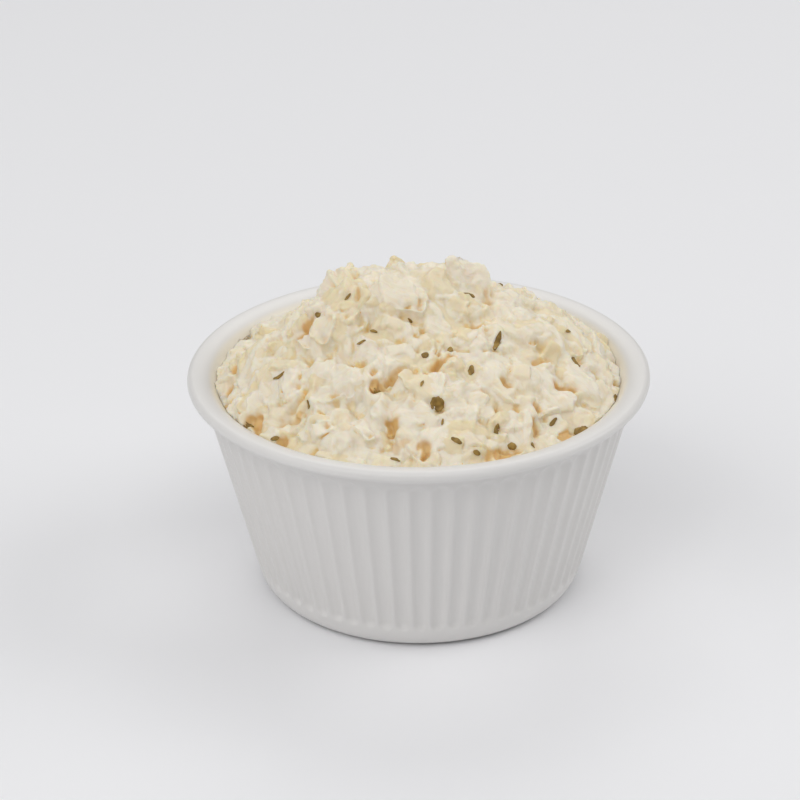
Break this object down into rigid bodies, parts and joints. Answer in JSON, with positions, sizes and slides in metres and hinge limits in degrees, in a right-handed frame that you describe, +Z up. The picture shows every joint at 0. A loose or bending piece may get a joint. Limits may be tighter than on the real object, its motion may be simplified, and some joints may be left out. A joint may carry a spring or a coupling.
{
  "type": "coleslaw",
  "caption": "Creamy chopped coleslaw heaped in a small white fluted ramekin, flecked with dried herbs.",
  "frame": {"origin": "centre of the circle that the ramekin's foot stands on", "axes": "+Z up along the ramekin's axis; -Y is the side that faces the viewer in the picture"},
  "size_m": [0.0888, 0.089, 0.0655],
  "materials": {
    "ramekin": "smooth, softly glossy white melamine",
    "coleslaw": "moist, creamy dressed cabbage"
  },
  "bodies": {
    "root": {"ramekin": "ramekin", "coleslaw": "coleslaw"}
  },
  "joints": []
}
